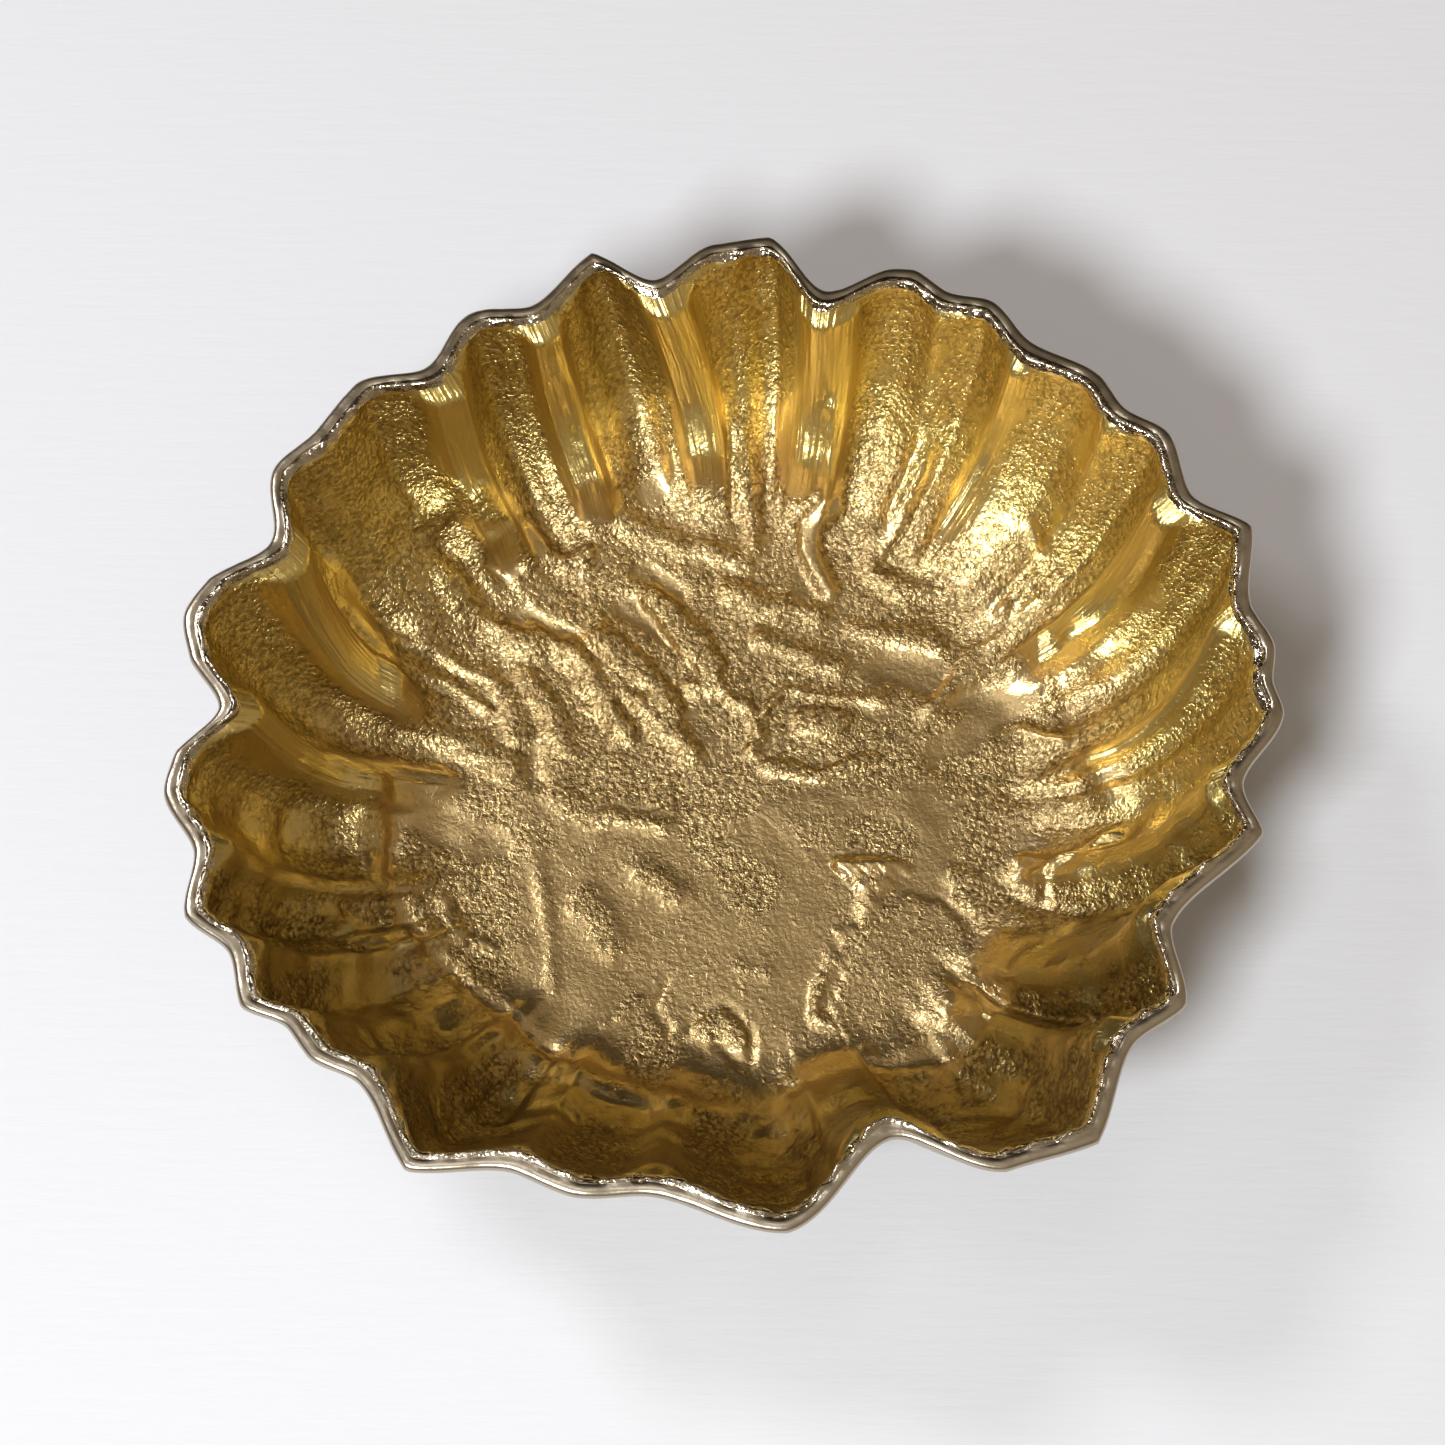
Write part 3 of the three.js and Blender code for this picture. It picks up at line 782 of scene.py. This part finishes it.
@dataclass
class ShellCasting:
    """The bowl: a round shallow section, pushed out and in to the lobes of a scallop shell."""

    rim_radius: float = 119.0
    depth: float = 52.0
    wall: float = 4.2
    floor_thickness: float = 4.8
    floor_flat_radius: float = 34.0
    wall_foot_inset: float = 27.0
    wall_turn_inset: float = 13.5
    wall_turn_rise: float = 12.0
    lip_width: float = 5.2
    lobes_start: float = 0.22  # how far up the wall's curve the lobes begin
    lobes_power: float = 0.75  # below 1, the lobes grow faster at first
    outside_end: float = 0.97  # how far up the wall's curve the outside goes
    steps: int = 672
    floor_rows: int = 34
    wall_rows: int = 82
    back_rows: int = 13
    under_rows: int = 3
    wall_run: float = 105.0  # mm along the wall, for the file's streaks
    lip_run: float = 140.0  # mm from the middle to the lip, for the file's streaks
    rib_height: float = 3.0
    mark_height: float = 0.88  # share of the marks' heights that is kept
    flat_edge: tuple[float, float] = (66.0, 84.0)  # where the flattened floor fades out
    flattening: float = 0.75  # share of the curve's rise that is taken off the floor
    rim: RimLine = field(default_factory=RimLine)

    def __post_init__(self) -> None:
        """Takes the height of the rim and of the feet's seats from the frame."""
        low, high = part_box("shell_bowl")
        self.seat_z = low.z / MM
        self.rim_z = high.z / MM
        self.floor_z = self.rim_z - self.depth
        self.middle = (low + high) / (2 * MM)

    def curve(self, share: float) -> tuple[Vector, Vector]:
        """Gives a point of the inside's section and the direction along it.

        Args:
            share: How far along, from the edge of the flat floor to the lip.

        Returns:
            The point of radius and height, and the unit direction there.
        """
        top = self.rim_radius - self.lip_width
        ends = (
            Vector((self.floor_flat_radius, self.floor_z)),
            Vector((top - self.wall_foot_inset, self.floor_z)),
            Vector((top - self.wall_turn_inset, self.floor_z + self.wall_turn_rise)),
            Vector((top, self.rim_z - LIP_SECTION[0][1])),
        )
        rest = 1 - share
        weights = (rest**3, 3 * rest**2 * share, 3 * rest * share**2, share**3)
        point = sum((end * weight for end, weight in zip(ends, weights)), Vector((0, 0)))
        slopes = (rest**2, 2 * rest * share, share**2)
        along = sum(
            ((after - before) * slope for before, after, slope in zip(ends, ends[1:], slopes)),
            Vector((0, 0)),
        )
        return point, along.normalized()

    def wall_row(self, share: float, skin: Skin) -> SectionRow:
        """Makes a row of the wall, on its inside or its outside.

        Args:
            share: How far up the wall's curve.
            skin: Which side.

        Returns:
            The row.
        """
        point, along = self.curve(share)
        climb = (point.y - self.floor_z) / self.depth
        thickness = 0.0
        if skin is Skin.OUTSIDE:
            thickness = self.floor_thickness + (self.wall - self.floor_thickness) * share
        return SectionRow(
            skin,
            point.x + along.y * thickness,
            point.y - along.x * thickness,
            climb,
            max(0.0, (share - self.lobes_start) / (1 - self.lobes_start)) ** self.lobes_power,
            along.y + (1 - along.y) * climb,
            along.x * (1 - climb),
            self.floor_flat_radius + self.wall_run * share,
        )

    def section(self) -> list[SectionRow]:
        """Lists the section's rows, from the middle of the inside to that of the underside."""
        rows = []
        for row in range(self.floor_rows):
            radius = self.floor_flat_radius * row / self.floor_rows
            rows.append(SectionRow(Skin.INSIDE, radius, self.floor_z, along=radius))
        for row in range(self.wall_rows):
            rows.append(self.wall_row(row / self.wall_rows, Skin.INSIDE))
        edge = self.rim_radius
        top = self.rim_z
        for inset, drop in LIP_SECTION:
            rows.append(
                SectionRow(Skin.LIP, edge - inset, top - drop, 1.0, 1.0, 1.0, 0.0, self.lip_run)
            )
        for row in range(self.back_rows, 0, -1):
            rows.append(self.wall_row(self.outside_end * row / self.back_rows, Skin.OUTSIDE))
        underside = self.floor_z - self.floor_thickness
        for row in range(self.under_rows, -1, -1):
            radius = self.floor_flat_radius * row / self.under_rows
            rows.append(SectionRow(Skin.OUTSIDE, radius, underside, along=radius))
        return rows

    def build(self, gilt: bpy.types.Material, nickel: bpy.types.Material) -> bpy.types.Object:
        """Builds the casting's mesh and dresses it.

        Args:
            gilt: The inside's finish.
            nickel: The finish of the lip and the outside.

        Returns:
            The finished piece.
        """
        section = self.section()
        shape = spun([(row.radius, row.height) for row in section], self.steps)
        layer = shape.verts.layers.int["row"]
        for face in shape.faces:
            skins = {section[corner[layer]].skin for corner in face.verts}
            face.material_index = 0 if Skin.INSIDE in skins else 1
        piece = new_piece("shell_bowl_casting", shape, [gilt, nickel])
        self.push_lobes(piece.data, section)
        return piece

    def push_lobes(self, mesh: bpy.types.Mesh, section: list[SectionRow]) -> None:
        """Pushes the round mesh out and in to the lobes, and lays the cast surface on it.

        Args:
            mesh: The spun mesh, in metres.
            section: The rows that it was spun from.
        """
        count = len(mesh.vertices)
        places = np.zeros(count * 3)
        mesh.vertices.foreach_get("co", places)
        places = places.reshape(-1, 3) / MM
        number = np.zeros(count, np.int32)
        mesh.attributes["row"].data.foreach_get("value", number)

        def column(name: str) -> np.ndarray:
            """Gives one value of each vertex's row."""
            return np.array([getattr(row, name) for row in section], float)[number]

        skin = np.array([row.skin.value for row in section])[number]
        inside = skin == Skin.INSIDE.value
        lip = skin == Skin.LIP.value
        degrees = np.degrees(np.arctan2(places[:, 1], places[:, 0]))
        out, sweep, fold = self.rim.follow(degrees)
        climb, lobes = column("climb"), column("lobes")
        push = out * lobes
        reach = column("radius") + push * column("push_out")
        angle = np.radians(degrees + sweep * (1 - climb))
        places[:, 0] = reach * np.cos(angle)
        places[:, 1] = reach * np.sin(angle)
        places[:, 2] = column("height") - push * column("push_down")

        ridge = smoothstep(0.2, 5.0, -fold)
        channel = smoothstep(0.5, 6.0, fold)
        relief, sand = np.zeros(count), np.zeros(count)
        relief[inside], sand[inside] = self.cast_inside(
            places[inside], climb[inside], ridge[inside], channel[inside]
        )
        relief *= 1 - smoothstep(0.9, 1.0, climb)
        out_part = np.where(inside, column("push_out"), 0.0)
        up_part = np.sqrt(np.clip(1 - out_part**2, 0, 1))
        places[:, 0] -= relief * out_part * np.cos(angle)
        places[:, 1] -= relief * out_part * np.sin(angle)
        places[:, 2] += relief * up_part
        burr = rumple(places, 2.2, 2, 7.0)
        wobble = rumple(places, 16.0, 1, 13.0)
        top = lip & (column("height") > self.rim_z - 2)
        bead = lip & (column("radius") < self.rim_radius - 3.2)
        drop = 0.25 * (1 + wobble) + np.where(bead, 0.45, 0.1) * (1 + burr)
        places[:, 2] -= np.where(top, drop, 0.0)
        nudge = np.where(bead, 0.5 * burr + 0.6 * wobble, 0.0)
        places[:, 0] += nudge * np.cos(angle) + self.middle.x
        places[:, 1] += nudge * np.sin(angle) + self.middle.y
        mesh.vertices.foreach_set("co", (places * MM).ravel())

        self.store(mesh, "grain", sand)
        filed = ridge * smoothstep(0.05, 0.2, climb) * smoothstep(-60, 10, places[:, 1])
        self.store(mesh, "filed", filed)
        # Painted shade: the walls of the near side, towards -Y, are marked to be painted darker.
        near_side_shade = smoothstep(-5, -60, places[:, 1]) * smoothstep(0.02, 0.3, climb)
        self.store(mesh, "near_side_shade", near_side_shade)
        self.store(mesh, "burr", np.where(bead, 1.0, 0.1))
        flow = np.stack(
            (
                self.rim_radius * np.cos(np.radians(degrees)),
                self.rim_radius * np.sin(np.radians(degrees)),
                0.05 * column("along"),
            ),
            axis=1,
        )
        flows = mesh.attributes.new("flow", "FLOAT_VECTOR", "POINT")
        flows.data.foreach_set("vector", (flow * MM).astype(np.float32).ravel())
        mesh.attributes.remove(mesh.attributes["row"])
        mesh.update()

    def cast_inside(
        self, places: np.ndarray, climb: np.ndarray, ridge: np.ndarray, channel: np.ndarray
    ) -> tuple[np.ndarray, np.ndarray]:
        """Works out the cast and filed surface of the inside.

        Args:
            places: The places of the smooth lobed shape, in mm.
            climb: How far up the wall each place is, from 0 to 1.
            ridge: How sharply a ridge runs there, from 0 to 1.
            channel: How deep a channel runs there, from 0 to 1.

        Returns:
            How far each place rises from the smooth shape in mm, and how sandy it is.
        """
        plan = places[:, :2]
        radius = np.hypot(plan[:, 0], plan[:, 1])
        lumps = rumple(places, 6.5, 2)
        swell = rumple(places, 24.0, 1, 31.0)
        patches = rumple(places, 13.0, 2, 3.0)
        ragged = 1.4 * rumple(places, 3.2, 2, 17.0) + 1.8 * rumple(places, 9.0, 1, 41.0)
        on_wall = smoothstep(0.06, 0.16, climb)
        near = smoothstep(5, -25, plan[:, 1])
        height = np.zeros(len(places))
        sand = (1 - on_wall) * ((1 - near) * (0.75 + 0.5 * patches) + near * (0.45 + 0.6 * patches))
        sand += on_wall * (0.8 - 0.25 * near - (1 - 0.6 * near) * ridge**2 + 0.45 * patches)
        for mark in MARKS:
            weight = mark.weigh(plan, ragged * (0.35 + 0.65 * mark.sand))
            height += weight * (mark.height - height)
            sand += weight * (mark.sand - sand)
        rough = ((1 - near) * 0.44 + near * (0.22 + 0.2 * on_wall)) * smoothstep(1, 10, radius)
        # The floor stays flat for longer than the smooth section does.
        flat = 1 - smoothstep(*self.flat_edge, radius)
        sunk = self.flattening * flat * (places[:, 2] - self.floor_z)
        ribs = self.rib_height * (0.7 * ridge**2 + 0.6 * ridge**8 - 0.3 * channel - 0.5 * channel**4)
        ribs *= smoothstep(0.03, 0.16, climb) * (1 - 0.45 * near)
        folds = near * on_wall * rumple(places * np.array((1, 1, 2.4)), 14.0, 2, 53.0)
        texture = lumps * rough * (0.45 + 0.55 * sand) * (1 - 0.5 * ridge)
        rise = self.mark_height * height + ribs + folds - sunk + texture + 0.35 * swell
        return rise, np.clip(sand, 0, 1)

    @staticmethod
    def store(mesh: bpy.types.Mesh, name: str, values: np.ndarray) -> None:
        """Stores one value for each vertex of a mesh, for its material to read."""
        attribute = mesh.attributes.new(name, "FLOAT", "POINT")
        attribute.data.foreach_set("value", values.astype(np.float32))


# ---- The feet ------------------------------------------------------------------------------


@dataclass(frozen=True)
class Place:
    """Where a foot stands."""

    name: str
    middle: Vector  # mm, on the table

    @classmethod
    def of(cls, name: str) -> "Place":
        """Finds a foot's place from its felt pad in the frame."""
        low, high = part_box(f"felt_pad_{name}")
        return cls(name, Vector(((low.x + high.x) / 2, (low.y + high.y) / 2, 0)) / MM)


@dataclass
class FootSet:
    """Three turned knobs under the bowl, each with a screw up its middle and a felt pad.

    Its sizes are radii, and heights above the table, in mm.
    """

    names: tuple[str, ...] = ("front", "back_right", "back_left")
    pad_top: float = 1.5
    seat: float = 12.5
    bearing: float = 5.3
    sole: float = 6.8
    belly: float = 8.6
    neck: float = 6.0
    flare: float = 7.6
    hole: float = 2.3
    counterbore: float = 4.1
    pad: float = 6.2
    root: float = 8.3
    root_height: float = 17.2
    worn: float = 0.3  # how far the edges are worn round
    waist: float = 0.45  # how far up a knob its belly is widest
    steps: int = 96

    def knob(self) -> list[tuple[float, float]]:
        """Lists the closed outline of a knob, bored for its screw."""
        rise = self.seat - self.pad_top
        outline = [(self.counterbore, self.pad_top), (self.sole - self.worn, self.pad_top)]
        for step in range(15):
            share = step / 14
            at = self.pad_top + 0.4 + share * (0.85 * rise - 0.4)
            if share < self.waist:
                swell = math.sin(share / self.waist * math.pi / 2)
                outline.append((self.sole + (self.belly - self.sole) * swell, at))
            else:
                swell = math.cos((share - self.waist) / (1 - self.waist) * math.pi / 2)
                outline.append((self.neck + (self.belly - self.neck) * swell, at))
        outline += [
            (self.flare - self.worn, self.seat - 1.1 - self.worn),
            (self.flare, self.seat - 1.1),
            (self.flare, self.seat),
            (self.hole, self.seat),
            (self.hole, self.bearing),
            (self.counterbore, self.bearing),
        ]
        return outline

    def disc(self) -> list[tuple[float, float]]:
        """Lists the outline of a pad, with its edges worn round."""
        inner = self.pad - self.worn
        side = [(self.pad, self.worn), (self.pad, self.pad_top - self.worn)]
        return [(0, 0), (inner, 0), *side, (inner, self.pad_top), (0, self.pad_top)]

    def build(
        self, nickel: bpy.types.Material, steel: bpy.types.Material, felt: bpy.types.Material
    ) -> list[bpy.types.Object]:
        """Builds every knob and pad, and finishes the screws.

        Args:
            nickel: The knobs' finish.
            steel: The screws' finish.
            felt: The pads' finish.

        Returns:
            The new pieces.
        """
        pieces = []
        for place in map(Place.of, self.names):
            knob = spun(self.knob(), self.steps, closed=True)
            pieces.append(self.put(f"foot_{place.name}_turned", knob, place, nickel))
            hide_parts(f"foot_{place.name}")
            disc = spun(self.disc(), self.steps)
            pieces.append(self.put(f"felt_pad_{place.name}_cut", disc, place, felt))
            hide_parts(f"felt_pad_{place.name}")
            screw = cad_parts[f"foot_screw_{place.name}"]
            screw.data.materials.clear()
            screw.data.materials.append(steel)
        return pieces

    def put(
        self, name: str, shape: bmesh.types.BMesh, place: Place, finish: bpy.types.Material
    ) -> bpy.types.Object:
        """Moves a spun shape to its foot and makes it a piece on the bowl's body.

        Args:
            name: The piece's name.
            shape: The shape, built about +Z.
            place: Where its foot stands.
            finish: Its material.

        Returns:
            The piece.
        """
        bmesh.ops.translate(shape, verts=shape.verts, vec=place.middle)
        piece = new_piece(name, shape, [finish])
        piece.data.set_sharp_from_angle(angle=math.radians(35))
        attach(piece, "root")
        return piece

    def add_bosses(self, casting: bpy.types.Object) -> None:
        """Adds the cast bosses that the knobs seat on to the casting.

        Args:
            casting: The bowl's casting, with its outside finish in slot 1.
        """
        whole = bmesh.new()
        whole.from_mesh(casting.data)
        for place in map(Place.of, self.names):
            boss = spun(
                [
                    (self.hole, self.seat),
                    (self.flare, self.seat),
                    (self.root, self.root_height),
                    (self.hole, self.root_height),
                ],
                self.steps,
                closed=True,
            )
            bmesh.ops.translate(boss, verts=boss.verts, vec=place.middle)
            boss.transform(Matrix.Scale(MM, 4))
            part = bpy.data.meshes.new("boss")
            boss.to_mesh(part)
            boss.free()
            old = len(whole.faces)
            whole.from_mesh(part)
            whole.faces.ensure_lookup_table()
            for face in whole.faces[old:]:
                face.material_index = 1
                face.smooth = False
            bpy.data.meshes.remove(part)
        whole.to_mesh(casting.data)
        whole.free()


# ---- The studio ----------------------------------------------------------------------------


@dataclass(frozen=True)
class Studio:
    """A white board under soft light from the near left, seen from above its near side."""

    distance: float = 700.0  # mm from the camera to the middle of the rim's plane
    elevation: float = 68.0
    aim: tuple[float, float] = (-1.0, -5.5)
    focal_length: float = 78.4
    board_size: float = 1500.0  # mm from the board's middle to its edge
    light_distance: float = 2.2  # m
    light_size: float = 0.5  # m
    key_direction: tuple[float, float] = (238.0, 50.0)
    key_power: float = 48.0
    fill_direction: tuple[float, float] = (150.0, 50.0)
    fill_power: float = 15.0
    top_direction: tuple[float, float] = (165.0, 83.0)
    top_power: float = 2.2
    dark_room: str = "#543f2c"
    light_room: str = "#f4e0c0"
    gloomy_side: tuple[float, float, float] = (0.1, 0.8, 0.5)
    open_side: tuple[float, float, float] = (0.5, -0.1, 0.85)
    world_strength: float = 0.5

    def build(self, rim_z: float) -> None:
        """Builds the camera, the board and the lights.

        Args:
            rim_z: The height of the rim, in mm.
        """
        scene = bpy.context.scene
        scene.view_settings.view_transform = "Standard"
        lens = bpy.data.cameras.new("camera")
        lens.lens = self.focal_length
        camera = bpy.data.objects.new("camera", lens)
        tilt = math.radians(self.elevation)
        target = Vector((*self.aim, rim_z)) * MM
        offset = Vector((0, -math.cos(tilt), math.sin(tilt))) * self.distance * MM
        camera.location = target + offset
        camera.rotation_euler = (-offset).to_track_quat("-Z", "Y").to_euler()
        scene.collection.objects.link(camera)
        scene.camera = camera

        board = bmesh.new()
        bmesh.ops.create_grid(board, x_segments=8, y_segments=8, size=self.board_size)
        floor = new_piece("board", board, [PaintedBoard().build()])

        self.add_light("key", self.key_direction, self.key_power, "#f8fdff")
        self.add_light("fill", self.fill_direction, self.fill_power, "#f0f0f4")
        self.add_light("top", self.top_direction, self.top_power, "#ffffff")
        self.add_room(scene)

    def add_light(
        self, name: str, direction: tuple[float, float], power: float, colour: str
    ) -> None:
        """Adds a round soft light that faces the bowl.

        Args:
            name: The light's name.
            direction: Its azimuth and elevation from the middle of the table, in degrees.
            power: Its power, in watts.
            colour: Its colour, as sRGB hex.
        """
        light = bpy.data.lights.new(name, "AREA")
        light.shape = "DISK"
        light.size = self.light_size
        light.energy = power
        light.color = linear(colour)[:3]
        lamp = bpy.data.objects.new(name, light)
        turn, height = (math.radians(angle) for angle in direction)
        towards = Vector(
            (
                math.cos(turn) * math.cos(height),
                math.sin(turn) * math.cos(height),
                math.sin(height),
            )
        )
        lamp.location = towards * self.light_distance
        lamp.rotation_euler = towards.to_track_quat("Z", "Y").to_euler()
        bpy.context.scene.collection.objects.link(lamp)

    def add_room(self, scene: bpy.types.Scene) -> None:
        """Gives the scene a room whose walls and windows are darker and lighter patches."""
        world = bpy.data.worlds.new("studio")
        world.use_nodes = True
        tree = world.node_tree
        towards = add_node(tree, "ShaderNodeTexCoord").outputs["Generated"]

        def facing(side: tuple[float, float, float]) -> bpy.types.NodeSocket:
            """Tells how nearly a direction faces one side of the room."""
            settings = {"operation": "DOT_PRODUCT", 0: towards, 1: Vector(side).normalized()}
            return add_node(tree, "ShaderNodeVectorMath", settings).outputs["Value"]

        settings = {"Scale": 2.6, "Detail": 2.0, "Vector": towards}
        clouds = add_node(tree, "ShaderNodeTexNoise", settings).outputs["Fac"]
        window = rescale(tree, facing(self.open_side), (0.95, 0.1), (0.12, -0.1))
        patches = calculate(tree, "ADD", clouds, window)
        share = rescale(tree, patches, (0.36, 0.68), kind="SMOOTHSTEP")
        lit = rescale(
            tree, facing(self.gloomy_side), (0.97, 0.82), (0.12, 1.0), kind="SMOOTHSTEP"
        )
        looks = {
            "Color": blend(tree, share, linear(self.dark_room), linear(self.light_room)),
            "Strength": calculate(tree, "MULTIPLY", lit, self.world_strength),
        }
        set_inputs(tree, tree.nodes["Background"], looks)
        scene.world = world


def main() -> None:
    """Builds the studio and the bowl."""
    logging.basicConfig(level=logging.INFO, format="%(name)s: %(message)s")
    gilt = GiltBrass().build()
    nickel = NickelPlate().build()
    casting = ShellCasting()
    Studio().build(casting.rim_z)
    piece = casting.build(gilt, nickel)
    feet = FootSet()
    feet.add_bosses(piece)
    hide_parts("shell_bowl")
    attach(piece, "root")
    LOG.info("casting: %d faces", len(piece.data.polygons))
    for foot in feet.build(nickel, ZincSteel().build(), WoolFelt().build()):
        LOG.info("%s: %d faces", foot.name, len(foot.data.polygons))


if __name__ == "__main__":
    main()
